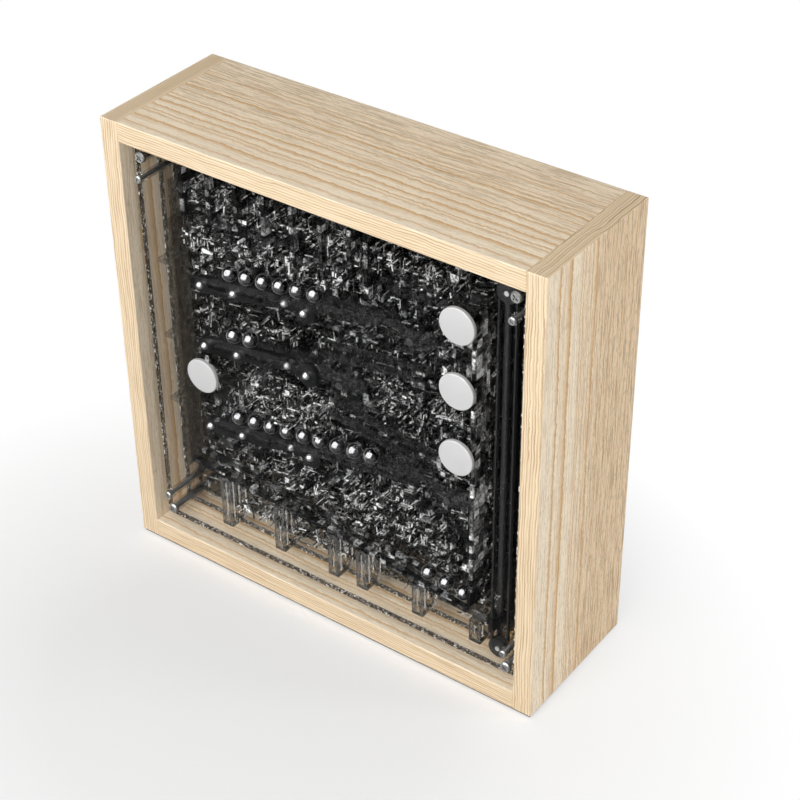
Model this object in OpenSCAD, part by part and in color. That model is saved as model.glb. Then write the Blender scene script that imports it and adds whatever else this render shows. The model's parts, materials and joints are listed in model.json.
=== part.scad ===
// Rolling ball clock: a wooden box frame around a stack of clear plates.
// A belt lift raises one ball a minute; the balls on the three sloping rows show the time.
// Millimetres. X to the right, Y to the back, Z up; the origin is on the ground under the middle.

/* [Wooden case] */
// Width of the case
case_w = 300; // [296:1:320]
// Height of the case, without its base pad
case_h = 300; // [298:1:320]
// Depth of the case
case_d = 98.4; // [94:0.2:120]
// Thickness of the ash boards
board_t = 12.75; // [10:0.25:13]
// Thickness of the rubber base pad
pad_t = 1.5; // [1:0.5:5]
// Distance of the pad's edge from the case's sides
pad_inset = 1; // [0.5:0.5:5]

/* [Plates] */
// Thickness of the clear plates
plate_t = 3; // [2:0.5:4]
// Gap between the plates' edges and the boards
plate_gap = 5.25; // [4:0.25:6]
// Depth of the front plate behind the case's front
front_recess = 7.8; // [7:0.2:10]
// Width of the ball channel, between the front plate and the track plate
channel_t = 14.8; // [14.4:0.1:16]
// Gap between the track plate and the bearing plate
bearing_gap = 8.9; // [6:0.1:12]
// Gap between the bearing plate and the black back plate
back_gap = 17.7; // [14:0.1:19]
// Thickness of the black back plate
back_t = 3; // [2:0.5:4]
// Thickness of the rear cover
cover_t = 3; // [2:0.5:4]
// Depth of the rear cover inside the case's back edge
cover_inset = 2; // [1:0.5:3]
// Length and width of the rear cover's air slots
vent = [44, 3]; // [2:1:60]

/* [Plate screws] */
// Distance of the corner screws from the case's sides
screw_in = 22.3; // [21:0.1:23]
// Distance of the small screws above or below the corner screws
small_screw_step = 12.9; // [11:0.1:16]
// Radius of a corner screw's shank
screw_r = 1.9; // [1.5:0.1:2.2]
// Radius and height of a corner screw's pan head
screw_head = [3.5, 2.4]; // [1.5:0.1:4]
// Radius of a small screw's shank
small_screw_r = 1.2; // [1:0.1:1.5]
// Radius and height of a small screw's head
small_head = [2.4, 1.5]; // [1:0.1:3]
// Radius of the clear spacer tubes on the corner screws
tube_r = 3.5; // [3:0.1:4]
// Radius of the tubes on the small screws
small_tube_r = 2.75; // [2:0.05:3]
// Length of the sleeve under a small screw's head
sleeve_l = 3.9; // [3:0.1:5]
// Side of the corner blocks behind the back plate
block_side = 13; // [12:0.5:13]

/* [Balls and rows] */
// Radius of the steel balls
ball_r = 4.75; // [4.5:0.05:5]
// Slope of the rows
slope = 8; // [6:0.5:9]
// Distance of each row's first ball from the case's left side
row_in = 74; // [72:0.5:76]
// Distance of the hour row's tray from the case's right side; it sets the distance between the balls
row_end = 88.2; // [87:0.1:90]
// Height of the minute row's first ball, as a share of the way from the waiting balls up to the feed rails
minute_rise = 0.764; // [0.755:0.001:0.775]
// The same for the ten-minute row's first ball
ten_rise = 0.559; // [0.55:0.001:0.57]
// The same for the hour row's first ball
hour_rise = 0.275; // [0.27:0.001:0.29]
// Places on the minute row, the last one being the tray
minute_places = 10; // [9:1:10]
// Places on the ten-minute row, the last one being the tray
ten_places = 6; // [6:1:7]
// Places on the hour row, the last one being the tray
hour_places = 12; // [11:1:12]
// Balls that stand on the minute row
minute_count = 6; // [1:1:8]
// Balls that stand on the ten-minute row
ten_count = 2; // [1:1:4]
// Balls that stand on the hour row
hour_count = 9; // [1:1:10]
// Balls that wait in the trough
reserve_count = 3; // [1:1:6]

/* [Rails] */
// Slot between the two strips of a rail
rail_slot = 5.8; // [5.6:0.1:6.4]
// Height of a rail's strips
rail_h = 2.7; // [2:0.1:2.8]
// How far a row's strips reach past its first ball
rail_tail = 12; // [10:0.5:14]
// Gap between a ball and what it runs on
ball_gap = 0.05; // [0.02:0.01:0.1]
// Gap between the pieces in the channel and its plates
side_gap = 0.2; // [0.1:0.05:0.3]

/* [Levers] */
// Thickness of the black levers
lever_t = 4; // [3:0.1:4.4]
// Radius of a lever's pivot boss
lever_boss_r = 7.5; // [6:0.1:7.6]
// Radius and height of the studs' heads
stud_head = [2.4, 2.5]; // [1:0.1:3]
// Radius of the studs' shanks
stud_r = 1.2; // [1:0.1:1.3]
// Gap between the gate finger and the first ball
finger_gap = 0.35; // [0.3:0.05:1]
// Width of a link
link_w = 3; // [2.5:0.1:3.2]
// Thickness of a link
link_t = 2; // [1.5:0.1:2.2]
// Gap between a lever and its link
link_gap = 0.4; // [0.3:0.05:0.6]

/* [Trough] */
// Distance of the ball that waits at the gate from the case's right side
reserve_in = 59.8; // [59:0.1:61]
// Height of the ball that waits at the gate
reserve_z = 52.3; // [51:0.1:53]
// Slope of the trough's left part
trough_slope = 4; // [3:0.5:5]
// Length of the trough's steep part, measured level
trough_run = 74.2; // [60:0.2:80]
// Distance of the trough's left end from the case's left side
trough_in = 38; // [36:1:42]
// Height of the brackets' feet above the case's underside
bracket_z = 25.5; // [20:0.5:30]
// Width of the brackets
bracket_w = 8; // [6:0.5:9]

/* [Left guide] */
// Distance of the wall that guides dumped balls down from the case's left side
guide_in = 33; // [32:0.5:34]
// Thickness of the clear walls
wall_t = 2.5; // [2:0.1:2.5]

/* [Lift] */
// Distance of the ball in the lift's cup from the case's right side
cup_in = 44.4; // [44.2:0.1:44.6]
// Height of the ball in the cup at the bottom
cup_z = 50.3; // [49:0.1:51]
// Distance of the ball at the top of the lift below the case's top
feed_drop = 38; // [37:0.1:44]
// Distance of the belt's left run from the case's right side
belt_in = 37.6; // [37.2:0.1:37.8]
// Width and thickness of the belt
belt = [2.4, 1]; // [0.8:0.1:5]
// Radius of the belt pulleys
pulley_r = 5; // [4:0.1:5.2]
// Height of the lower pulley's shaft
pulley_z = 27; // [26:0.5:28]
// Radius of the pulley shafts
shaft_r = 1.5; // [1.2:0.1:2]
// Radius of the guide rod
rod_r = 2; // [1.5:0.1:2.2]
// Radial clearance of turning and sliding fits
run_fit = 0.05; // [0.02:0.01:0.08]
// Height of the carriage
carriage_h = 10; // [8:0.5:12]
// Thickness of the cup's floor
cup_t = 2.2; // [1.5:0.1:3]
// Thickness of the gate that holds the waiting balls
gate_t = 1.8; // [1.2:0.1:2]

/* [Drive] */
// Tooth size of the gears, as their module
gear_m = 0.8; // [0.7:0.05:0.8]
// Teeth on the drive shaft's pinion
pinion_teeth = 12; // [10:1:12]
// Teeth on the motor's gear
motor_teeth = 24; // [18:1:24]
// Width of the gears
gear_w = 4; // [3:0.5:5]
// Radius and length of the motor's gearbox
gearbox = [10, 9]; // [6:0.5:12]
// Radius of the motor
motor_r = 8; // [6:0.5:9]
// Gap between the motor and the rear cover
motor_gap = 2.2; // [1:0.1:6]

/* [Buttons] */
// Radius of the white caps
cap_r = 11.25; // [9:0.25:12]
// Thickness of the white caps
cap_t = 2.6; // [2:0.1:3]
// Travel of a button
button_travel = 2.2; // [1:0.1:2.4]
// Distance of the right-hand buttons from the case's right side
button_in = 56.2; // [56:0.1:57]
// Distances of the three right-hand buttons below the case's top
button_drop = [51, 93, 137.4]; // [50:0.1:150]
// Distance of the left-hand button from the case's left side, and its height above the case's middle
release_in = [60, -6.7]; // [-10:0.1:70]

/* [Hidden] */
$fn = 48;
eps = 0.01;

// Planes across the depth, front to back
y_case = -case_d / 2;
y_front = y_case + front_recess;
y_channel = y_front + plate_t;
y_track = y_channel + channel_t;
y_track_back = y_track + plate_t;
y_bearing = y_track_back + bearing_gap;
y_bearing_back = y_bearing + plate_t;
y_black = y_bearing_back + back_gap;
y_black_back = y_black + back_t;
y_cover = case_d / 2 - cover_inset - cover_t;
y_ball = y_channel + channel_t / 2;

inner_w = case_w - 2 * board_t;
inner_h = case_h - 2 * board_t;
plate_w = inner_w - 2 * plate_gap;
plate_h = inner_h - 2 * plate_gap;
mid_z = case_h / 2;
screw_x = case_w / 2 - screw_in;
screw_z = case_h / 2 - screw_in;
small_z = screw_z - small_screw_step;
hole_gap = 0.1;
left_x = -case_w / 2;
right_x = case_w / 2;

// Places across the case
row_x = left_x + row_in;
ball_pitch = (right_x - row_end - row_x) / cos(slope) / (hour_places - 1);
reserve_x = right_x - reserve_in;
trough_bend_x = reserve_x - trough_run;
trough_left = left_x + trough_in;
guide_x = left_x + guide_in;
cup_x = right_x - cup_in;
belt_x = right_x - belt_in;
button_x = right_x - button_in;

// Heights; the rows share the way from the waiting balls up to the feed rails
feed_z = case_h - feed_drop;
lift_travel = feed_z - cup_z;
minute_z = reserve_z + minute_rise * (feed_z - reserve_z);
ten_z = reserve_z + ten_rise * (feed_z - reserve_z);
hour_z = reserve_z + hour_rise * (feed_z - reserve_z);
button_z = [for (drop = button_drop) case_h - drop];
release_at = [left_x + release_in[0], mid_z + release_in[1]];

// Strips of a rail: their top lies this far under the ball's centre
rail_top = sqrt(pow(ball_r, 2) - pow(rail_slot / 2, 2)) + ball_gap;
strip_w = (channel_t - rail_slot) / 2 - side_gap;

// Points of a lever in its row's own frame: along the row, and square to it
// The pivot stands clear of the ten-minute row's tray
pivot = [(ten_places - 1) * ball_pitch - 8.75, -13.1];
stud_a = [-23.8, -11.4];
stud_b = [1.9, -11.8];
stud_c = pivot + [-13.4, 3.7];
eye = [(stud_b[0] + stud_c[0]) / 2 + 0.5, -10.8];
finger_w = 3;
finger_u = -ball_r - finger_gap - finger_w / 2;
finger_top = -0.8;
arm_top = -ball_r - 0.6;
arm_w = 3.6;
lever_y = y_ball - lever_t / 2;
link_y = lever_y + lever_t + link_gap;
tray_len = 10;
tray_top = -ball_r - ball_gap;
tray_off = 3;
tray_weight = [10, 5.4];

// Belt lift
belt_y = y_ball - 3;
pulley_belt_r = pulley_r + belt[1] / 2;
pulley_x = belt_x + pulley_belt_r;
pulley_top_z = case_h - pulley_z;
rod_at = [belt_x + 1.1, y_ball + 3.5];
cup_floor = ball_r + 0.3;
gear_y = y_black_back + 2;
gear_distance = gear_m * (pinion_teeth + motor_teeth) / 2 + 0.1;
motor_x = pulley_x - gear_distance;

module raised() translate([0, 0, pad_t]) children();

// A flat piece drawn in X and Z, from depth y over thickness t
module sheet(y, t) translate([0, y + t, 0]) rotate([90, 0, 0]) linear_extrude(t) children();

// A round bar along Y from depth y over length l
module bar_y(x, z, y, l, r) translate([x, y, z]) rotate([-90, 0, 0]) cylinder(h = l, r = r);

// A flat bar with round ends, in two dimensions
module arm(a, b, w) {
    d = b - a;
    translate(a) rotate(atan2(d[1], d[0])) translate([0, -w / 2]) square([norm(d), w]);
    translate(a) circle(d = w);
    translate(b) circle(d = w);
}

// Puts its children on a row that starts at height z
module on_row(z) translate([row_x, 0, z]) rotate([0, -slope, 0]) children();

// Puts its children on any line through x and z, rising to the right at angle a
module on_line(x, z, a) translate([x, 0, z]) rotate([0, -a, 0]) children();

module four_corners(x, z) for (sx = [-1, 1], sz = [-1, 1]) translate([sx * x, 0, mid_z + sz * z]) children();

// ---------- the wooden case ----------

module side_board(side)
    raised() color("burlywood") translate([side > 0 ? inner_w / 2 : -case_w / 2, y_case, 0])
        cube([board_t, case_d, case_h]);

module level_board(z)
    raised() color("burlywood") translate([-inner_w / 2, y_case, z]) cube([inner_w, case_d, board_t]);

module frame_left() side_board(-1);
module frame_right() side_board(1);
module frame_top() level_board(case_h - board_t);
module frame_bottom() level_board(0);

module base_pad() color("dimgray") translate([-case_w / 2 + pad_inset, y_case + pad_inset, 0])
    cube([case_w - 2 * pad_inset, case_d - 2 * pad_inset, pad_t]);

// ---------- the plates ----------

module plate_outline() translate([-plate_w / 2, mid_z - plate_h / 2]) square([plate_w, plate_h]);

module screw_holes() {
    for (sx = [-1, 1], sz = [-1, 1]) {
        translate([sx * screw_x, mid_z + sz * screw_z]) circle(screw_r + hole_gap);
        translate([sx * screw_x, mid_z + sz * small_z]) circle(small_screw_r + hole_gap);
    }
}

module hole(x, z, r) translate([x, z]) circle(r);

// Places of the four buttons
function button_places() = concat([for (z = button_z) [button_x, z]], [release_at]);
stem_r = 2.5;

module front_plate() raised() color("gainsboro", 0.3) sheet(y_front, plate_t)
    difference() {
        plate_outline();
        screw_holes();
        for (p = button_places()) translate(p) circle(stem_r + run_fit);
    }

// A row's point turned into the case's X and Z
function row_point(z, p) = [row_x + p[0] * cos(slope) - p[1] * sin(slope),
                            z + p[0] * sin(slope) + p[1] * cos(slope)];

function tray_u(places) = (places - 1) * ball_pitch;
function pin_u(places) = tray_u(places) + tray_off;
function tray_pivot(places) = [pin_u(places) + pivot[0] - stud_c[0], pivot[1]];
rows = [[minute_z, minute_places], [ten_z, ten_places], [hour_z, hour_places]];

module track_plate() raised() color("gainsboro", 0.3) sheet(y_track, plate_t)
    difference() {
        plate_outline();
        screw_holes();
        for (row = rows) {
            translate(row_point(row[0], pivot)) circle(stud_r + run_fit);
            translate(row_point(row[0], tray_pivot(row[1]))) circle(stud_r + hole_gap);
        }
        for (z = [pulley_z, pulley_top_z]) hole(pulley_x, z, bush_r);
    }

module bearing_plate() raised() color("gainsboro", 0.3) sheet(y_bearing, plate_t)
    difference() {
        plate_outline();
        screw_holes();
        for (z = [pulley_z, pulley_top_z]) hole(pulley_x, z, bush_r);
    }

module back_plate() raised() color([0.05, 0.05, 0.05]) sheet(y_black, back_t)
    difference() {
        translate([-inner_w / 2 + 0.25, board_t + 0.25]) square([inner_w - 0.5, inner_h - 0.5]);
        for (sx = [-1, 1], sz = [-1, 1]) hole(sx * screw_x, mid_z + sz * screw_z, screw_r + hole_gap);
        hole(pulley_x, pulley_z, bush_r);
    }

jack_at = [left_x + 50, 45];
jack_r = 5.5;

module rear_cover() raised() color([0.08, 0.08, 0.08]) sheet(y_cover, cover_t)
    difference() {
        translate([-inner_w / 2 + 0.5, board_t + 0.5]) square([inner_w - 1, inner_h - 1]);
        for (sx = [-1, 1], sz = [-1, 1]) hole(sx * screw_x, mid_z + sz * screw_z, small_screw_r + hole_gap);
        hole(jack_at[0], jack_at[1], jack_r + hole_gap);
        for (i = [-3:3], sz = [-1, 1])
            translate([i * 4 * vent[1], mid_z + sz * 70])
                arm([0, -vent[0] / 2], [0, vent[0] / 2], vent[1]);
    }

module corner_blocks() raised() color("tan")
    for (sx = [-1, 1], sz = [-1, 1])
        difference() {
            translate([sx > 0 ? inner_w / 2 - block_side : -inner_w / 2, y_black_back,
                       sz > 0 ? case_h - board_t - block_side : board_t])
                cube([block_side, y_cover - y_black_back, block_side]);
            bar_y(sx * screw_x, mid_z + sz * screw_z, y_black_back - 1, screw_reach + 1, screw_r + hole_gap);
            bar_y(sx * screw_x, mid_z + sz * screw_z, y_cover - small_reach, small_reach + 1,
                  small_screw_r + hole_gap);
        }

// ---------- screws and spacers ----------
// The screws from the front and from the back meet in the corner blocks with a gap
small_reach = 11;
screw_reach = y_cover - y_black_back - small_reach - 5.2;

// A pan-head screw along Y, its head's underside at depth y, with a cross recess
module screw(y, head, r, l) {
    difference() {
        translate([0, y, 0]) rotate([90, 0, 0]) rotate_extrude()
            polygon([[0, 0], [head[0], 0], [head[0], head[1] * 0.6], [head[0] * 0.82, head[1]], [0, head[1]]]);
        for (a = [45, 135])
            rotate([0, a, 0]) translate([-head[0] * 0.6, y - head[1] - eps, -head[0] * 0.13])
                cube([head[0] * 1.2, head[1] * 0.5, head[0] * 0.26]);
    }
    translate([0, y - eps, 0]) rotate([-90, 0, 0]) cylinder(h = l + eps, r = r);
}

module corner_screws() raised() color("silver")
    four_corners(screw_x, screw_z) screw(y_front, screw_head, screw_r, y_black_back + screw_reach - y_front - 1);

module small_screws() raised() color("silver")
    four_corners(screw_x, small_z)
        screw(y_front - sleeve_l, small_head, small_screw_r, y_bearing_back - y_front + sleeve_l);

module cover_screws() raised() color([0.15, 0.15, 0.15])
    four_corners(screw_x, screw_z) translate([0, 2 * (y_cover + cover_t), 0]) mirror([0, 1, 0])
        screw(y_cover + cover_t, small_head, small_screw_r, cover_t + small_reach - 1);

module tube(y, l, r, bore) translate([0, y, 0]) rotate([-90, 0, 0]) difference() {
    cylinder(h = l, r = r);
    translate([0, 0, -1]) cylinder(h = l + 2, r = bore);
}

module standoff_tubes() raised() color("gainsboro", 0.4) {
    four_corners(screw_x, screw_z) {
        tube(y_channel, channel_t, tube_r, screw_r + hole_gap);
        tube(y_track_back, bearing_gap, tube_r, screw_r + hole_gap);
        tube(y_bearing_back, back_gap, tube_r, screw_r + hole_gap);
    }
    four_corners(screw_x, small_z) {
        tube(y_front - sleeve_l, sleeve_l, small_tube_r, small_screw_r + hole_gap);
        tube(y_channel, channel_t, small_tube_r, small_screw_r + hole_gap);
        tube(y_track_back, bearing_gap, small_tube_r, small_screw_r + hole_gap);
    }
}

// ---------- rails ----------

// Two strips on the current line, from u0 to u1
module strips(u0, u1) {
    for (y = [y_channel + side_gap, y_track - side_gap - strip_w])
        translate([u0, y, -rail_top - rail_h]) cube([u1 - u0, strip_w, rail_h]);
}

module row_rails() raised() color("gainsboro", 0.4)
    for (row = rows) on_row(row[0]) strips(-rail_tail, tray_u(row[1]) - 2.3);

// From the lift to the minute row, and from each row's tray to the next row
function tray_x(places) = row_x + tray_u(places) * cos(slope);
feed_left = tray_x(minute_places) + 9.3;
spill_a = [tray_x(minute_places) + 25.3, minute_z - 10.5];
spill_a_len = (spill_a[0] - tray_x(ten_places) - 8.1) / cos(slope);
spill_b = [tray_x(ten_places) + 11.4, ten_z - 16];
spill_b_len = (tray_x(hour_places) + 3.5 - spill_b[0]) / cos(slope);

module transfer_rails() raised() color("gainsboro", 0.4) {
    on_line(cup_x, feed_z, slope) strips((feed_left - cup_x) / cos(slope), -6);
    on_line(spill_a[0], spill_a[1], slope) strips(-spill_a_len, 0);
    on_line(spill_b[0], spill_b[1], -slope) strips(0, spill_b_len);
}

function trough_z(x) = x > trough_bend_x
    ? reserve_z + (reserve_x - x) * tan(slope)
    : reserve_z + (reserve_x - trough_bend_x) * tan(slope) + (trough_bend_x - x) * tan(trough_slope);

module trough_rails() raised() color("gainsboro", 0.4) {
    on_line(reserve_x, reserve_z, -slope)
        strips((trough_bend_x - reserve_x) / cos(slope) + 0.4, 7);
    on_line(trough_bend_x, trough_z(trough_bend_x), -trough_slope)
        strips((trough_left - trough_bend_x) / cos(trough_slope), -0.4);
}

bracket_places = [trough_left + 22.7, trough_left + 65.1, trough_bend_x - 21.2, trough_bend_x + 0.3,
    reserve_x - 32.6, cup_x - 6.7];

// Upright bars under the trough, each with a foot reaching back to the track plate
module trough_brackets() raised() color("gainsboro", 0.4)
    for (x = bracket_places) {
        under = trough_z(x + bracket_w) - rail_top - rail_h - 0.3;
        top = x > gate_x ? cup_z - cup_floor - cup_t - 1.5 : under;
        difference() {
            translate([x, y_channel + side_gap, bracket_z])
                cube([bracket_w, channel_t - 2 * side_gap, top - bracket_z]);
            translate([x - 1, y_channel + side_gap + 3, bracket_z + 3])
                cube([bracket_w + 2, channel_t - 2 * side_gap - 6, top - bracket_z - 6]);
            translate([x + 2.4, y_channel, bracket_z + 3])
                cube([bracket_w - 4.8, channel_t, top - bracket_z - 6]);
        }
    }

// ---------- walls and fins ----------

shelf_z = [for (drop = [93, 146.2, 193.1]) case_h - drop];
shelf_left = -plate_w / 2 + 6.2;
guide_foot = 60;
guide_drop = 62;

module left_guide() raised() color("gainsboro", 0.4) {
    translate([guide_x, y_channel + side_gap, guide_foot])
        cube([wall_t, channel_t - 2 * side_gap, case_h - guide_drop - guide_foot]);
    for (z = shelf_z)
        difference() {
            translate([shelf_left, y_channel + side_gap, z])
                cube([guide_x - shelf_left + eps, channel_t - 2 * side_gap, 2.4]);
            translate([shelf_left + 2.4, y_channel + side_gap + 3, z - 1])
                cube([guide_x - shelf_left - 4.4, channel_t - 2 * side_gap - 6, 5]);
        }
}

wall_x = cup_x - ball_r - 0.45 - wall_t;
wall_foot = cup_z + ball_r + 7;

module lift_wall() raised() color("gainsboro", 0.4) {
    translate([wall_x, y_channel + side_gap, wall_foot])
        cube([wall_t, channel_t - 2 * side_gap, feed_z - rail_top - rail_h - 5 - wall_foot]);
    // the gate slides in a groove of two guides
    difference() {
        translate([gate_x - 2, y_channel + side_gap, wall_foot])
            cube([wall_x - gate_x + 2 + eps, channel_t - 2 * side_gap, 26]);
        translate([gate_x - 0.2, y_ball - gate_w / 2 - 0.2, wall_foot - 1])
            cube([wall_x - gate_x + 0.2, gate_w + 0.4, 28]);
        translate([gate_x - 3, y_ball - gate_w / 2 + 1.5, wall_foot - 1])
            cube([4, gate_w - 3, 28]);
    }
}

// Ribs that hang under the case's top, one of them longer
fin_h = 32;
fin_top = case_h - 22;
fin_step = 20;
long_fin_h = 41;
// Uprights with windows behind the bearing plate
upright_end = 30;
upright_step = (plate_w - 64) / 10;
window_step = (case_h - 100) / 4;
// Sloping shelves and small frames between the track plate and the bearing plate
shelf_len = plate_w - 59;
shelf_drops = [230, 182, 114, 68];
cell = [3, 18];
cell_drops = [208, 150, 90];
cell_step = (plate_w - 104) / 5;

module clear_fins() raised() color("gainsboro", 0.3) {
    for (i = [0:6])
        translate([row_x - 28 + i * fin_step, y_channel + side_gap, fin_top - fin_h])
            cube([wall_t, channel_t - 2 * side_gap, fin_h]);
    translate([feed_left - 19, y_channel + side_gap, fin_top - long_fin_h])
        cube([wall_t, channel_t - 2 * side_gap, long_fin_h]);
    for (i = [0:10])
        translate([-plate_w / 2 + 12 + i * upright_step, 0, 0])
            difference() {
                translate([0, y_bearing_back + side_gap, upright_end])
                    cube([wall_t, back_gap - 2 * side_gap, case_h - 2 * upright_end]);
                for (k = [0:3])
                    translate([-1, y_bearing_back + 4, 50 + k * window_step])
                        cube([wall_t + 2, back_gap - 8, window_step - 16]);
            }
    for (drop = shelf_drops)
        on_line(-plate_w / 2 + 14, case_h - drop, slope / 2)
            translate([0, y_track_back + side_gap, 0]) cube([shelf_len, bearing_gap - 2 * side_gap, 2]);
    for (i = [0:5], k = [0:2])
        translate([-plate_w / 2 + 27 + i * cell_step + (k == 1 ? 12 : 0), y_track_back + side_gap,
                   case_h - cell_drops[k]])
            difference() {
                cube([cell[0], bearing_gap - 2 * side_gap, cell[1]]);
                translate([-1, 2.4, 4]) cube([cell[0] + 2, bearing_gap - 2 * side_gap - 4.8, cell[1] - 8]);
            }
}

// ---------- levers, studs, links and trays ----------

module lever_shape() difference() {
    union() {
        arm([stud_a[0] + 3, arm_top - arm_w / 2 - 0.4], [stud_c[0] - 6, arm_top - arm_w / 2], arm_w);
        translate(stud_a) circle(5.5);
        arm([stud_a[0], stud_a[1] - 3], [stud_b[0], stud_b[1] - 3], 4);
        translate(stud_b) circle(6);
        arm([stud_b[0], stud_b[1] - 2.5], [eye[0], eye[1] - 3], 3.5);
        translate(eye) circle(5);
        arm([eye[0], eye[1] - 3], [stud_c[0], stud_c[1] - 1.5], 4);
        translate(stud_c) circle(4);
        arm([stud_c[0], stud_c[1] - 1], pivot, 6);
        translate(pivot) circle(lever_boss_r);
        arm([finger_u, arm_top - arm_w / 2], [finger_u, finger_top], finger_w);
    }
    for (p = [stud_a, stud_b, stud_c, pivot]) translate(p) circle(stud_r);
    translate(eye) circle(2.6);
}

module lever(z) raised() color([0.12, 0.12, 0.13]) on_row(z) sheet(lever_y, lever_t) lever_shape();

module minute_lever() lever(minute_z);
module ten_minute_lever() lever(ten_z);
module hour_lever() lever(hour_z);

module stud(p, tail) {
    bar_y(p[0], p[1], lever_y - eps, tail + eps, stud_r);
    translate([p[0], lever_y - stud_head[1], p[1]]) rotate([-90, 0, 0]) intersection() {
        cylinder(h = stud_head[1], r = stud_head[0]);
        translate([0, 0, stud_head[0]]) sphere(stud_head[0] * 1.04, $fn = 32);
    }
}

module studs(z) raised() color("gainsboro") on_row(z) {
    for (p = [stud_a, stud_b]) stud(p, lever_t);
    stud(stud_c, lever_t + link_gap + link_t);
    stud(pivot, y_track_back - lever_y - 0.5);
}

module minute_studs() studs(minute_z);
module ten_minute_studs() studs(ten_z);
module hour_studs() studs(hour_z);

function link_len(places) = pin_u(places) - stud_c[0];
link_line = stud_c[1] + 0.9;
link_tail = [18, 3.4];

module link(z, places) raised() color("gainsboro", 0.5) on_row(z) sheet(link_y, link_t) {
    a = stud_c;
    b = stud_c + [link_len(places), 0];
    difference() {
        union() {
            arm([a[0] - link_tail[0], link_line], [b[0], link_line], link_w);
            translate([a[0] - link_tail[0], stud_c[1] - 1.1]) circle(link_tail[1]);
            translate(a) circle(2.1);
            translate(b) circle(2.1);
        }
        for (p = [a, b]) translate(p) circle(stud_r + run_fit);
    }
}

module minute_link() link(minute_z, minute_places);
module ten_minute_link() link(ten_z, ten_places);
module hour_link() link(hour_z, hour_places);

// A tray holds the last ball of a full row, which tips it and pulls the link down; a round weight balances it
module tray(z, places) raised() color("gainsboro", 0.5) on_row(z) {
    u = tray_u(places);
    p = tray_pivot(places);
    sheet(lever_y, lever_t) difference() {
        union() {
            arm([u - 0.5, tray_top - 1], [u + tray_len / 2 + 1, tray_top - 1], 2);
            arm([u + tray_len / 2 - 2, arm_top - 1.5], p, 5);
            arm(p, p + [tray_weight[0], 0], 5);
            translate(p + [tray_weight[0], 0]) circle(tray_weight[1]);
            arm([pin_u(places), tray_top - 2.5], [pin_u(places), stud_c[1]], 4.4);
            translate(p) circle(5.5);
        }
        translate(p) circle(stud_r + run_fit);
    }
    bar_y(pin_u(places), stud_c[1], lever_y + lever_t - eps, link_gap + link_t + eps, stud_r);
}

module minute_tray() tray(minute_z, minute_places);
module ten_minute_tray() tray(ten_z, ten_places);
module hour_tray() tray(hour_z, hour_places);

module tray_pins() raised() color("silver")
    for (row = rows) on_row(row[0]) {
        p = tray_pivot(row[1]);
        bar_y(p[0], p[1], lever_y - 1, y_track_back - lever_y + 1 - 0.5, stud_r);
        bar_y(p[0], p[1], lever_y - 1.8, 1.4, stud_head[0]);
    }

// Light torsion springs behind the levers, wound round their pivots
spring_wire = 0.35;
spring_turn = 2.6;

module lever_springs() raised() color("silver")
    for (row = rows) on_row(row[0])
        for (i = [0:2])
            translate([pivot[0], y_track - spring_wire - 0.1 - i * 2 * spring_wire * 0.98, pivot[1]])
                rotate([90, 0, 0]) rotate_extrude() translate([spring_turn, 0]) circle(spring_wire, $fn = 24);

// ---------- balls ----------

module ball_row(count, pitch) for (i = [0 : count - 1]) translate([i * pitch, y_ball, 0]) sphere(ball_r);

module minute_balls() raised() color("silver") on_row(minute_z) ball_row(minute_count, ball_pitch);
module ten_minute_balls() raised() color("silver") on_row(ten_z) ball_row(ten_count, ball_pitch);
module hour_balls() raised() color("silver") on_row(hour_z) ball_row(hour_count, ball_pitch);
module reserve_balls() raised() color("silver")
    on_line(reserve_x, reserve_z, -slope) ball_row(reserve_count, -ball_pitch);

// ---------- the lift ----------
bush_r = shaft_r + 1.2;
bush_head = [4, 0.8];

module lift_belt() raised() color([0.06, 0.06, 0.06]) sheet(belt_y - belt[0] / 2, belt[0])
    difference() {
        union() {
            for (z = [pulley_z, pulley_top_z]) hole(pulley_x, z, pulley_belt_r + belt[1] / 2);
            translate([pulley_x - pulley_belt_r - belt[1] / 2, pulley_z])
                square([2 * pulley_belt_r + belt[1], pulley_top_z - pulley_z]);
        }
        for (z = [pulley_z, pulley_top_z]) hole(pulley_x, z, pulley_belt_r - belt[1] / 2);
        translate([pulley_x - pulley_belt_r + belt[1] / 2, pulley_z])
            square([2 * pulley_belt_r - belt[1], pulley_top_z - pulley_z]);
    }

// A flanged pulley with one spoke hole, so that its turning shows
module pulley(z) difference() {
    union() {
        bar_y(pulley_x, z, belt_y - belt[0] / 2 - 1, belt[0] + 2, pulley_r - run_fit);
        for (y = [belt_y - belt[0] / 2 - 1, belt_y + belt[0] / 2 + 0.2])
            bar_y(pulley_x, z, y, 0.8, pulley_r + 1.5);
    }
    bar_y(pulley_x, z, belt_y - belt[0] / 2 - 2, belt[0] + 4, shaft_r);
    bar_y(pulley_x + pulley_r * 0.6, z, belt_y - belt[0] / 2 - 2, belt[0] + 4, 0.8);
}

module drive_pulley() raised() color("dimgray") pulley(pulley_z);
module idler_pulley() raised() color("dimgray") pulley(pulley_top_z);

shaft_front = belt_y - belt[0] / 2 - 1.6;

// A gear outline with n trapezoid teeth, one of them centred on angle 0
module gear_outline(n) {
    r = gear_m * n / 2;
    tip = gear_m * 0.32;
    foot = gear_m * 0.98;
    circle(r - 1.1 * gear_m);
    for (i = [0 : n - 1]) rotate(i * 360 / n)
        polygon([[r - 1.4 * gear_m, -foot], [r + 0.8 * gear_m, -tip], [r + 0.8 * gear_m, tip], [r - 1.4 * gear_m, foot]]);
}

module drive_shaft() raised() color("silver") {
    bar_y(pulley_x, pulley_z, shaft_front, gear_y + gear_w - shaft_front + 1, shaft_r);
    translate([pulley_x, 0, pulley_z]) sheet(gear_y, gear_w) gear_outline(pinion_teeth);
}

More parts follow.
